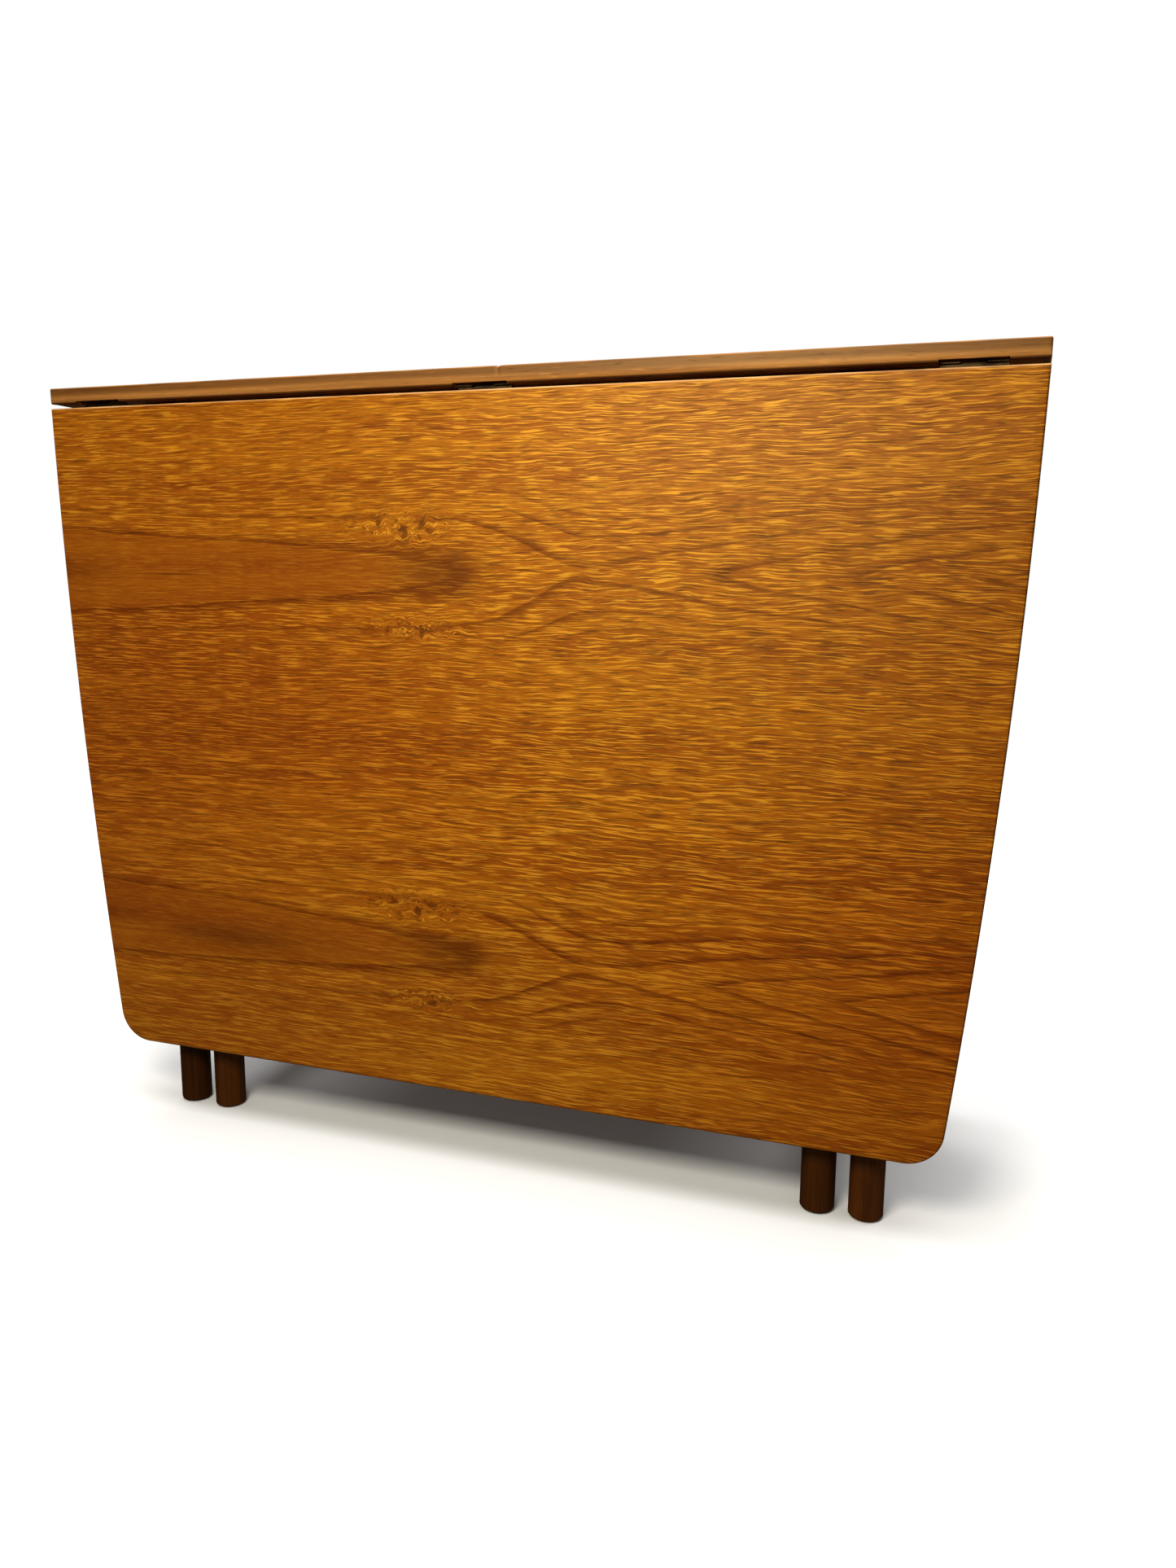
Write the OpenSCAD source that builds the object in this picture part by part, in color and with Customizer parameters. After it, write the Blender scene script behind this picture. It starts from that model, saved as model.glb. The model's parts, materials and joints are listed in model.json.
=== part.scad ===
// Drop leaf table: a narrow centre top on four round legs, with a leaf hanging from each
// long edge and a gate of two round legs behind each leaf that swings out to carry it.
// Origin: on the floor under the middle of the top. +X runs along the hinge lines, -Y is
// the front, +Z is up. Sizes are in millimetres. The table looks the same after a half
// turn about Z, so each rear piece is the front one turned.

/* [Overall size] */
// Height of the top above the floor
table_h = 735; // [715:1:900]
// Length of the top along its middle line
top_l = 918; // [860:1:1200]
// Width of the fixed centre top
top_w = 280; // [260:1:420]
// Length of a leaf from its hinge edge to its outer edge
leaf_l = 644; // [480:1:660]

/* [Boards] */
// Thickness of the centre top and the leaves
board_t = 14.5; // [14:0.5:20]
// Width of the solid wood edging
edging_w = 6; // [4:0.5:10]
// Radius of the bowed sides, which run over the centre top and both leaves
side_r = 7050; // [5000:50:12000]
// Radius of a leaf's outer corners
corner_r = 33; // [20:1:120]
// Gap between the centre top's underside and a hanging leaf
drop_gap = 4.3; // [2:0.1:6]
// Gap between the centre top and a raised leaf
joint_gap = 0.6; // [0.4:0.1:1.5]

/* [Legs and rails] */
// Diameter of every leg
leg_d = 31; // [26:0.5:40]
// Rounding round the bottom of a leg
foot_round = 2; // [1:0.5:4]
// From the end of the top to the centre of a fixed leg
leg_inset = 104; // [60:1:160]
// Gap between a fixed leg and the gate leg beside it
leg_pair_gap = 12; // [6:0.5:30]
// Gap between a hanging leaf and the legs behind it
leaf_leg_gap = 5; // [2:0.5:20]
// Thickness of every rail
rail_t = 20; // [16:0.5:26]
// Height of the upper rails
upper_rail_h = 60; // [45:1:90]
// Height of the lower rails
lower_rail_h = 50; // [46:1:70]
// Underside of the lower rails above the floor
lower_rail_z = 155; // [155:1:260]
// Gap between a folded gate and the long rail behind it
gate_rail_gap = 3.5; // [2:0.5:12]

/* [Gates] */
// Gap between a gate and the boards above it
gate_top_gap = 1; // [0.5:0.25:3]
// Height of a gate's top rail
gate_top_rail_h = 45; // [35:1:70]
// Height of a gate's bottom rail
gate_low_rail_h = 40; // [30:1:60]
// Underside of a gate's bottom rail above the floor
gate_low_rail_z = 105; // [60:1:110]
// From a leaf's outer edge in to the gate leg that carries it
support_inset = 130; // [90:1:200]
// Diameter of the pivot pin in the top of a hinge leg
pivot_d = 8; // [6:0.5:12]
// How far the pivot pin stands out of the leg
pivot_out = 10; // [6:0.5:11]
// How deep the pivot pin sits in the leg
pivot_in_leg = 22; // [15:1:40]
// Outside diameter of the pivot bush
bush_d = 12; // [10:0.5:18]
// Diameter of the turned neck low on a hinge leg
neck_d = 25; // [20:0.5:28]
// Height of the bearing block round the neck
block_h = 18; // [14:1:24]
// Width of the bearing block
block_w = 44; // [40:1:60]
// Height of the leaf stop blocks off the board
stop_t = 10; // [6:0.5:12]
// Width of a leaf stop block
stop_w = 20; // [15:1:30]
// Length of a leaf stop block
stop_l = 44; // [30:1:60]

/* [Hinges] */
// Length of a hinge along the edge
hinge_w = 50; // [46:1:90]
// Reach of each hinge plate from the pin
plate_reach = 36; // [28:1:48]
// Thickness of a hinge plate
plate_t = 1.4; // [1.2:0.1:2.2]
// Diameter of a hinge pin
hinge_pin_d = 5; // [3:0.5:6]
// Length of the middle knuckle
knuckle_l = 19; // [14:1:30]
// From the end of the top to the middle of an outer hinge
hinge_inset = 56; // [40:1:70]

/* [Fixings] */
// Diameter of the dowels
dowel_d = 8; // [6:0.5:10]
// Depth of a dowel in a leg or in the face of a rail
dowel_in_leg = 10; // [8:0.5:10]
// Depth of a dowel in the end of a rail
dowel_in_rail = 24; // [16:1:32]
// Distance between the two dowels that join an end rail to a leg
end_dowel_pitch = 34; // [30:1:36]
// Distance between the two dowels that join a long rail to an end rail
long_dowel_pitch = 12; // [11:0.5:14]
// Distance between the two dowels that join a gate rail to its leg
gate_dowel_pitch = 22; // [14:1:24]
// Diameter of a screw's head
screw_head_d = 6.8; // [5:0.2:9]
// Diameter of a screw's shank
screw_d = 3.4; // [2.5:0.1:4.5]
// Length of a screw
screw_l = 12.5; // [10:0.5:13]
// Thickness of the neck straps and the top brackets
strap_t = 1.6; // [1.2:0.1:2.5]
// Length of each arm of a top bracket
bracket_l = 26; // [20:1:36]
// Width of a top bracket
bracket_w = 20; // [14:1:30]
// Distance of the top brackets from the middle of the table
bracket_x = 150; // [60:1:220]
// Diameter of a glide
glide_d = 18; // [14:0.5:24]
// Thickness of a glide
glide_t = 1.5; // [1:0.25:4]
// Diameter of a glide's nail
nail_d = 2.4; // [1.8:0.1:3]
// Length of a glide's nail
nail_l = 15; // [10:1:25]

/* [Clearances] */
// Radial clearance of a pin that turns in a hole
pin_clear = 0.05; // [0.02:0.01:0.09]
// Clearance between parts of a hinge that swing past each other
swing_clear = 0.5; // [0.3:0.1:1]
// Radial clearance of the neck in its block and strap
neck_clear = 0.3; // [0.2:0.05:0.6]
// Clearance above and below the bearing block in the neck
neck_end_clear = 1; // [0.5:0.25:2]
// Clearance between a stop block and the open gate leg
stop_clear = 0.5; // [0.3:0.1:2]

/* [Hidden] */
$fn = 64;
long_arc_fn = 1440;      // sides of the circles that draw the bowed ends
eps = 0.5;               // how far a cutting shape runs past a face

under_z = table_h - board_t;
gap_below_top = board_t + drop_gap;
pin_in = (gap_below_top - joint_gap) / 2;
pin_y = pin_in - top_w / 2;
pin_z = table_h - pin_in;
plate_y = board_t - pin_in;                 // from the pin to a hinge plate's outer face
knuckle_r = plate_y - plate_t + swing_clear;
leaf_near = top_w / 2 + joint_gap;          // raised leaf's hinge edge from the middle
leaf_far = leaf_near + leaf_l;
hinge_xs = [hinge_inset - top_l / 2, 0, top_l / 2 - hinge_inset];

leg_r = leg_d / 2;
leg_y = board_t + leaf_leg_gap + leg_r - top_w / 2;
leg_x = top_l / 2 - leg_inset;
gate_x = leg_x - leg_d - leg_pair_gap;
gate_l = 2 * gate_x;
gate_top = under_z - gate_top_gap;
long_rail_y = leg_y + leg_r + gate_rail_gap;    // outer face of the front long rails
gate_open = asin(min(1, (leaf_far - support_inset + leg_y) / gate_l));

neck_z = lower_rail_z + lower_rail_h / 2;
neck_r = neck_d / 2;
strap_r = neck_r + neck_clear;

side_x = top_l / 2 - side_r;                // centre of the right-hand bow
corner_y = corner_r - leaf_far;
corner_x = side_x + sqrt(pow(side_r - corner_r, 2) - pow(corner_y, 2));

bush_slack = 10 * pin_clear;                // room above a pivot pin in its bush
bush_h = pivot_out + bush_slack;
screw_row = 0.68 * plate_reach;             // from the hinge pin to a plate's screws
screw_end = 1.4 * screw_head_d;             // from a plate's end to its outer screws
bracket_hole = 0.62 * bracket_l;            // from a bracket's corner to its screws
slot_w = screw_d / 4;                       // width of the slot in a screw's head

veneer = [0.78, 0.45, 0.16];
edging = [0.56, 0.36, 0.20];
leg_wood = [0.38, 0.22, 0.12];
rail_wood = [0.50, 0.31, 0.16];
beech = [0.86, 0.74, 0.52];
steel = [0.72, 0.72, 0.74];
brass = [0.80, 0.64, 0.30];
nylon = [0.30, 0.28, 0.26];

// ---- Ways of placing things ----

// The child and its copy after a half turn about Z
module both_halves() {
    children();
    rotate([0, 0, 180]) children();
}

module half_turn() rotate([0, 0, 180]) children();

// The child and its mirror image across X = 0
module both_ends() {
    children();
    mirror([1, 0, 0]) children();
}

// Turns a raised front leaf down about its hinge pins
module hanging()
    translate([0, pin_y, pin_z]) rotate([90, 0, 0]) translate([0, -pin_y, -pin_z]) children();

// Carries a flat shape drawn in Y and Z along X, centred
module along_x(l) rotate([90, 0, 90]) translate([0, 0, -l / 2]) linear_extrude(l) children();

// A box given by its lowest and highest corners
module span(low, high) translate(low) cube(high - low);

module at_hinges() for (x = hinge_xs) translate([x, pin_y, pin_z]) children();

// ---- Plan shapes ----

// Outline of the whole open top between its bowed ends, set in by some width
module bowed_ends(inset)
    intersection_for (s = [-1, 1])
        translate([s * side_x, 0]) circle(r = side_r - inset, $fn = long_arc_fn);

// Outline of the raised front leaf, set in from the sides and the outer edge
module leaf_plan(inset, near) {
    tangent_y = corner_y * (side_r - inset) / (side_r - corner_r);
    intersection() {
        bowed_ends(inset);
        translate([-top_l / 2, tangent_y]) square([top_l, -near - tangent_y]);
    }
    translate([-corner_x, inset - leaf_far]) square([2 * corner_x, corner_r - inset + eps]);
    for (s = [-1, 1]) translate([s * corner_x, corner_y]) circle(r = corner_r - inset);
}

// ---- Fixings and the holes they need ----

// Countersunk screw that goes in along +Z, with its head flush at Z = 0
module screw_body(head_h) {
    cylinder(d1 = screw_head_d, d2 = screw_d, h = head_h);
    cylinder(d = screw_d, h = screw_l);
}

module screw(head_h)
    difference() {
        screw_body(head_h);
        translate([-screw_head_d, -slot_w / 2, -eps])
            cube([2 * screw_head_d, slot_w, eps + head_h / 3]);
    }

// Places of the three screws in a hinge plate, as seen from the pin
module at_plate_screws(towards)
    for (x = [-1, 0, 1])
        translate([x * (hinge_w / 2 - screw_end), towards * screw_row, -plate_y])
            children();

// Pair of dowels one above the other, lying along X with its middle joint at X = 0
module dowel_pair(in_low, in_high, pitch)
    for (z = [-0.5, 0.5] * pitch)
        translate([-in_low, 0, z]) rotate([0, 90, 0]) cylinder(d = dowel_d, h = in_low + in_high);

// Dowels at the front end of both end rails on the right
module end_rail_dowels()
    for (z = [under_z - upper_rail_h / 2, lower_rail_z + lower_rail_h / 2])
        translate([leg_x, leg_y + leg_r, z]) rotate([0, 0, 90])
            dowel_pair(dowel_in_leg, dowel_in_rail, end_dowel_pitch);

// Dowels at the right-hand end of both front long rails
module long_rail_dowels()
    for (z = [under_z - upper_rail_h / 2, lower_rail_z + lower_rail_h / 2])
        translate([leg_x - rail_t / 2, long_rail_y + rail_t / 2, z])
            dowel_pair(dowel_in_rail, dowel_in_leg, long_dowel_pitch);

module frame_dowel_set() {
    both_halves() both_ends() end_rail_dowels();
    both_halves() both_ends() long_rail_dowels();
}

// Dowels of the front gate, in both ends of both rails
module gate_dowel_set()
    for (z = [gate_top - gate_top_rail_h / 2, gate_low_rail_z + gate_low_rail_h / 2])
        both_ends() translate([gate_x - leg_r, leg_y, z])
            dowel_pair(dowel_in_rail, dowel_in_leg, gate_dowel_pitch);

// ---- Cuts in the boards ----

// Room in the front edge of the centre top for hinge knuckles, plates and screws
module top_hinge_cuts()
    at_hinges() {
        rotate([0, 90, 0])
            cylinder(r = knuckle_r + swing_clear, h = hinge_w + 2 * swing_clear, center = true);
        w = hinge_w / 2 + swing_clear;
        span([-w, -knuckle_r - swing_clear, -plate_y - eps], [w, plate_y + swing_clear, 0]);
        span([-w, -pin_in - eps, -plate_y - eps], [w, 0, swing_clear - plate_y + plate_t]);
        span([-hinge_w / 2, 0, -plate_y - eps], [hinge_w / 2, plate_reach, plate_t - plate_y]);
        at_plate_screws(1) screw_body(plate_t);
    }

// Room in the underside of the raised front leaf for hinge plates and screws
module leaf_hinge_cuts()
    at_hinges() {
        span([-hinge_w / 2, -plate_reach, -plate_y - eps], [hinge_w / 2, 0, plate_t - plate_y]);
        at_plate_screws(-1) screw_body(plate_t);
    }

// Screws of the front brackets: one up into the top, one through the long rail's inner face
module at_bracket_screws()
    both_ends() {
        translate([bracket_x, long_rail_y + rail_t + bracket_hole, under_z - strap_t]) children();
        translate([bracket_x, long_rail_y + rail_t + strap_t, under_z - bracket_hole])
            rotate([90, 0, 0]) children();
    }

// ---- Centre top ----

module centre_plan(inset)
    intersection() {
        bowed_ends(inset);
        square([top_l, top_w - 2 * edging_w], center = true);
    }

module top_panel()
    color(veneer) difference() {
        translate([0, 0, under_z]) linear_extrude(board_t) centre_plan(edging_w);
        both_halves() {
            top_hinge_cuts();
            at_bracket_screws() screw_body(strap_t);
            translate([-gate_x, leg_y, under_z - eps]) cylinder(d = bush_d, h = bush_h + eps);
        }
    }

// Edging along the hinge line; its lower arris is rounded about the hinge pin
module top_front_edging()
    color(edging) difference() {
        intersection() {
            along_x(top_l) intersection() {
                translate([-top_w / 2, under_z]) square([edging_w, board_t]);
                union() {
                    translate([-top_w / 2, pin_z]) square([edging_w, pin_in]);
                    translate([pin_y, pin_z]) circle(r = pin_in);
                }
            }
            translate([0, 0, under_z]) linear_extrude(board_t) bowed_ends(0);
        }
        top_hinge_cuts();
    }

module top_right_edging()
    color(edging) translate([0, 0, under_z]) linear_extrude(board_t) difference() {
        intersection() {
            bowed_ends(0);
            translate([0, edging_w - top_w / 2]) square([top_l / 2, top_w - 2 * edging_w]);
        }
        bowed_ends(edging_w);
    }

// ---- Front leaf, drawn raised and then hung ----

module leaf_board() translate([0, 0, under_z]) linear_extrude(board_t) children();

module leaf_ring()
    difference() {
        leaf_plan(0, leaf_near);
        leaf_plan(edging_w, leaf_near - eps);
    }

module leaf_panel()
    color(veneer) hanging() difference() {
        leaf_board() leaf_plan(edging_w, leaf_near + edging_w);
        leaf_hinge_cuts();
    }

module leaf_hinge_edging()
    color(edging) hanging() difference() {
        leaf_board() intersection() {
            leaf_plan(0, leaf_near);
            translate([-top_l / 2, -leaf_near - edging_w]) square([top_l, edging_w]);
        }
        leaf_hinge_cuts();
    }

module leaf_side_edging()
    color(edging) hanging() leaf_board() intersection() {
        leaf_ring();
        translate([0, corner_y]) square([top_l / 2, -leaf_near - edging_w - corner_y]);
    }

module leaf_outer_edging()
    color(edging) hanging() leaf_board() intersection() {
        leaf_ring();
        translate([-top_l / 2, -leaf_far]) square([top_l, leaf_far + corner_y]);
    }

// Block under the leaf that the open gate's leg comes up against
module leaf_stop()
    color(rail_wood) hanging()
        translate([-gate_x, leg_y, under_z - stop_t]) rotate([0, 0, -gate_open])
            translate([gate_l - stop_l / 2, -leg_r - stop_clear - stop_w, 0])
                cube([stop_l, stop_w, stop_t]);

// ---- Legs and rails ----

// Round leg standing on its glide, with its bottom arris rounded
module round_leg(top)
    difference() {
        rotate_extrude() {
            translate([0, glide_t]) square([leg_r - foot_round, top - glide_t]);
            translate([0, glide_t + foot_round]) square([leg_r, top - glide_t - foot_round]);
            translate([leg_r - foot_round, glide_t + foot_round]) circle(r = foot_round);
        }
        cylinder(d = nail_d, h = glide_t + nail_l);
    }

module leg_front_right()
    color(leg_wood) difference() {
        translate([leg_x, leg_y, 0]) round_leg(under_z);
        end_rail_dowels();
    }

module end_rail_right(z, h)
    color(rail_wood) difference() {
        translate([leg_x - rail_t / 2, leg_y, z]) cube([rail_t, -2 * leg_y, h]);
        for (s = [-1, 1]) translate([leg_x, s * leg_y, 0]) cylinder(r = leg_r, h = table_h);
        end_rail_dowels();
        mirror([0, 1, 0]) end_rail_dowels();
        long_rail_dowels();
        mirror([0, 1, 0]) long_rail_dowels();
    }

module long_rail_front(z, h)
    color(rail_wood) difference() {
        translate([rail_t / 2 - leg_x, long_rail_y, z]) cube([2 * leg_x - rail_t, rail_t, h]);
        both_ends() long_rail_dowels();
        at_bracket_screws() screw_body(strap_t);
    }

// ---- Front gate ----

module gate_hinge_leg()
    color(leg_wood) difference() {
        translate([-gate_x, leg_y, 0]) round_leg(gate_top);
        gate_dowel_set();
        translate([-gate_x, leg_y, gate_top - pivot_in_leg])
            cylinder(d = pivot_d, h = pivot_in_leg + eps);
        translate([-gate_x, leg_y, neck_z - block_h / 2 - neck_end_clear]) difference() {
            cylinder(r = leg_r + eps, h = block_h + 2 * neck_end_clear);
            translate([0, 0, -eps]) cylinder(r = neck_r, h = block_h + 2 * (neck_end_clear + eps));
        }
    }

module gate_swing_leg()
    color(leg_wood) difference() {
        translate([gate_x, leg_y, 0]) round_leg(gate_top);
        gate_dowel_set();
    }

module gate_rail(z, h)
    color(rail_wood) difference() {
        translate([-gate_x, leg_y - rail_t / 2, z]) cube([gate_l, rail_t, h]);
        both_ends() translate([gate_x, leg_y, 0]) cylinder(r = leg_r, h = table_h);
        gate_dowel_set();
    }

module gate_pivot_pin()
    color(steel) translate([-gate_x, leg_y, gate_top - pivot_in_leg])
        cylinder(d = pivot_d, h = pivot_in_leg + gate_top_gap + pivot_out);

module gate_dowels() color(beech) gate_dowel_set();

module glide() {
    cylinder(d = glide_d, h = glide_t);
    cylinder(d = nail_d, h = glide_t + nail_l);
}

module gate_glides() color(nylon) both_ends() translate([gate_x, leg_y, 0]) glide();

// ---- What holds the gates to the frame ----

module gate_bushes()
    color(brass) both_halves() translate([-gate_x, leg_y, under_z]) difference() {
        cylinder(d = bush_d, h = bush_h);
        translate([0, 0, -eps]) cylinder(d = pivot_d + 2 * pin_clear, h = bush_h + 2 * eps);
    }

module at_strap_screws()
    both_halves() for (s = [-1, 1])
        translate([s * (strap_r + strap_t + block_w / 2) / 2 - gate_x, leg_y - strap_t, neck_z])
            rotate([-90, 0, 0]) children();

module gate_bearing_blocks()
    color(rail_wood) difference() {
        both_halves() translate([-gate_x, leg_y, neck_z]) difference() {
            span([-block_w / 2, 0, -block_h / 2], [block_w / 2, long_rail_y - leg_y, block_h / 2]);
            cylinder(r = strap_r, h = block_h + eps, center = true);
        }
        at_strap_screws() screw_body(strap_t);
    }

// Saddle strap round the front of the neck, screwed to the bearing block
module gate_neck_straps() {
    strap_h = block_h - 2 * strap_t;
    color(steel) difference() {
        both_halves() translate([-gate_x, leg_y, neck_z]) difference() {
            union() {
                intersection() {
                    cylinder(r = strap_r + strap_t, h = strap_h, center = true);
                    span([-leg_d, -leg_d, -strap_h], [leg_d, 0, strap_h]);
                }
                span([-block_w / 2, -strap_t, -strap_h / 2], [block_w / 2, 0, strap_h / 2]);
            }
            cylinder(r = strap_r, h = strap_h + eps, center = true);
        }
        at_strap_screws() screw_body(strap_t);
    }
}

module strap_screws() color(steel) at_strap_screws() screw(strap_t);

// ---- Hinges ----

// One plate with its knuckles. towards is 1 for the plate in the centre top, -1 for the leaf's
module hinge_plate(towards, knuckle_xs, bore_d) {
    difference() {
        union() {
            span([-hinge_w / 2, min(towards, 0) * plate_reach, -plate_y],
                 [hinge_w / 2, max(towards, 0) * plate_reach, plate_t - plate_y]);
            for (x = knuckle_xs) {
                span([x[0], min(towards, 0) * knuckle_r, -plate_y], [x[1], max(towards, 0) * knuckle_r, 0]);
                translate([x[0], 0, 0]) rotate([0, 90, 0]) cylinder(r = knuckle_r, h = x[1] - x[0]);
            }
        }
        rotate([0, 90, 0]) cylinder(d = bore_d, h = hinge_w + 2 * eps, center = true);
        children();
        at_plate_screws(towards) screw_body(plate_t);
    }
}

// Room in a plate for the other plate's knuckle, between two places along X
module knuckle_room(low, high) {
    r = plate_y + swing_clear;
    span([low, -r, -plate_y - eps], [high, r, knuckle_r + eps]);
}

module hinge_top_plates() {
    edge = knuckle_l / 2 + swing_clear;
    color(brass) at_hinges()
        hinge_plate(1, [[-hinge_w / 2, -edge], [edge, hinge_w / 2]], hinge_pin_d)
            knuckle_room(-edge, edge);
}

module hinge_leaf_plates() {
    edge = knuckle_l / 2;
    color(brass) hanging() at_hinges()
        hinge_plate(-1, [[-edge, edge]], hinge_pin_d + 2 * pin_clear) {
            knuckle_room(edge, hinge_w);
            knuckle_room(-hinge_w, -edge);
        }
}

module hinge_pins()
    color(steel) at_hinges() rotate([0, 90, 0]) cylinder(d = hinge_pin_d, h = hinge_w, center = true);

module hinge_top_screws()
    color(brass) both_halves() at_hinges() at_plate_screws(1) screw(plate_t);

module leaf_hinge_screws()
    color(brass) hanging() at_hinges() at_plate_screws(-1) screw(plate_t);

// ---- Fixing of the top, dowels and glides ----

module top_brackets()
    color(steel) both_halves() difference() {
        both_ends() translate([bracket_x - bracket_w / 2, long_rail_y + rail_t, under_z]) {
            span([0, 0, -strap_t], [bracket_w, bracket_l, 0]);
            span([0, 0, -bracket_l], [bracket_w, strap_t, 0]);
        }
        at_bracket_screws() screw_body(strap_t);
    }

module bracket_screws() color(steel) both_halves() at_bracket_screws() screw(strap_t);

module frame_dowels() color(beech) frame_dowel_set();

module leg_glides() color(nylon) both_halves() both_ends() translate([leg_x, leg_y, 0]) glide();

// ---- Pieces ----

top_panel();
top_front_edging();
half_turn() top_front_edging();  // top_rear_edging
half_turn() top_right_edging();  // top_left_edging
top_right_edging();
leaf_panel();  // front_leaf_panel
leaf_hinge_edging();  // front_leaf_hinge_edging
leaf_outer_edging();  // front_leaf_outer_edging
mirror([1, 0, 0]) leaf_side_edging();  // front_leaf_left_edging
leaf_side_edging();  // front_leaf_right_edging
leaf_stop();  // front_leaf_stop
half_turn() leaf_panel();  // rear_leaf_panel
half_turn() leaf_hinge_edging();  // rear_leaf_hinge_edging
half_turn() leaf_outer_edging();  // rear_leaf_outer_edging
half_turn() leaf_side_edging();  // rear_leaf_left_edging
half_turn() mirror([1, 0, 0]) leaf_side_edging();  // rear_leaf_right_edging
half_turn() leaf_stop();  // rear_leaf_stop
mirror([1, 0, 0]) leg_front_right();  // leg_front_left
leg_front_right();
half_turn() leg_front_right();  // leg_rear_left
mirror([0, 1, 0]) leg_front_right();  // leg_rear_right
half_turn() end_rail_right(under_z - upper_rail_h, upper_rail_h);  // upper_end_rail_left
end_rail_right(under_z - upper_rail_h, upper_rail_h);  // upper_end_rail_right
half_turn() end_rail_right(lower_rail_z, lower_rail_h);  // lower_end_rail_left
end_rail_right(lower_rail_z, lower_rail_h);  // lower_end_rail_right
long_rail_front(under_z - upper_rail_h, upper_rail_h);  // upper_long_rail_front
half_turn() long_rail_front(under_z - upper_rail_h, upper_rail_h);  // upper_long_rail_rear
long_rail_front(lower_rail_z, lower_rail_h);  // lower_long_rail_front
half_turn() long_rail_front(lower_rail_z, lower_rail_h);  // lower_long_rail_rear
gate_hinge_leg();  // front_gate_hinge_leg
gate_swing_leg();  // front_gate_swing_leg
gate_rail(gate_top - gate_top_rail_h, gate_top_rail_h);  // front_gate_top_rail
gate_rail(gate_low_rail_z, gate_low_rail_h);  // front_gate_bottom_rail
gate_pivot_pin();  // front_gate_pivot_pin
gate_dowels();  // front_gate_dowels
gate_glides();  // front_gate_glides
half_turn() gate_hinge_leg();  // rear_gate_hinge_leg
half_turn() gate_swing_leg();  // rear_gate_swing_leg
half_turn() gate_rail(gate_top - gate_top_rail_h, gate_top_rail_h);  // rear_gate_top_rail
half_turn() gate_rail(gate_low_rail_z, gate_low_rail_h);  // rear_gate_bottom_rail
half_turn() gate_pivot_pin();  // rear_gate_pivot_pin
half_turn() gate_dowels();  // rear_gate_dowels
half_turn() gate_glides();  // rear_gate_glides
gate_bushes();
gate_bearing_blocks();
gate_neck_straps();
strap_screws();
hinge_top_plates();  // front_hinge_top_plates
hinge_leaf_plates();  // front_hinge_leaf_plates
hinge_pins();  // front_hinge_pins
half_turn() hinge_top_plates();  // rear_hinge_top_plates
half_turn() hinge_leaf_plates();  // rear_hinge_leaf_plates
half_turn() hinge_pins();  // rear_hinge_pins
hinge_top_screws();
leaf_hinge_screws();  // front_leaf_hinge_screws
half_turn() leaf_hinge_screws();  // rear_leaf_hinge_screws
top_brackets();
bracket_screws();
frame_dowels();
leg_glides();
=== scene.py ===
# %% [markdown]
# # A drop leaf table in teak
# This lesson dresses a finished joinery model of a drop leaf table: a narrow centre top, two
# leaves that hang beside it, and round legs behind them. The joinery comes in as a fixed
# frame, so every size here is read from it, and the lesson only adds eased edges, smooth
# legs, and the finish of each wood and metal.

# %% Load the joinery
import json
import math

import bmesh
import bpy
import numpy as np
from mathutils import Matrix, Vector


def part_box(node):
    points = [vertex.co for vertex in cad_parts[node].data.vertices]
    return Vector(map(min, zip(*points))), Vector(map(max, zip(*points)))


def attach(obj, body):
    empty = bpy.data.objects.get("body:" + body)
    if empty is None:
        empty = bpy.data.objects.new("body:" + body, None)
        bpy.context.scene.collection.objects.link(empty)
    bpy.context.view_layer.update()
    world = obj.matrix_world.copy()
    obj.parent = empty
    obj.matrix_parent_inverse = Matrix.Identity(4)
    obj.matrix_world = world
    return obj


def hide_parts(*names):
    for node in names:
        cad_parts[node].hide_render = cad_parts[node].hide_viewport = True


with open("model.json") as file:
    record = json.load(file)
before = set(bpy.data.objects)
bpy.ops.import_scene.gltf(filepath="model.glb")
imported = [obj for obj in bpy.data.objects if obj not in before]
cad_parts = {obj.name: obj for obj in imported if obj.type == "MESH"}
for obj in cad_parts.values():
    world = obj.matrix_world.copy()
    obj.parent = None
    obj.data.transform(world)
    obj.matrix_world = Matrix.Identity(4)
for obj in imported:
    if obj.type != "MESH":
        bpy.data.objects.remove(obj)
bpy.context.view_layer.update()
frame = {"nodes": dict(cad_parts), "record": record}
BODIES = frame["record"]["behaviour"]["bodies"]
BODY_OF = {node: body for body, nodes in BODIES.items() for node in nodes}
SLOT_OF = {part["node"]: part["material_slot"] for part in frame["record"]["subparts"]}
print("pieces in the frame:", len(frame["nodes"]))

# %% [markdown]
# ## Where the viewer stands
# The picture is taken by someone standing close, a little right of the middle, with the lens
# just below the height of the top, so the top itself is hidden and the leaf fills the view.
# A lens of 27 mm on a 36 mm frame is what a hand-held camera sees at its widest. A Track To
# constraint could aim the camera at the table. Three plain angles do it here, because they
# also keep the slight roll of a camera held by hand.

# %% Camera
STANDS_AT = (0.4323, -1.1022, 0.5616)
HEADING, TILT, ROLL = (math.radians(a) for a in (18.95, -10.12, -0.48))


def looking(heading, tilt, roll):
    """Turns a camera that looks along +Y with +Z up: roll first, then tilt up, then heading left."""
    turn = Matrix.Rotation(heading, 3, "Z") @ Matrix.Rotation(tilt, 3, "X")
    turn = turn @ Matrix.Rotation(roll, 3, "Y") @ Matrix.Rotation(math.radians(90), 3, "X")
    return turn.to_4x4()


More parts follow.
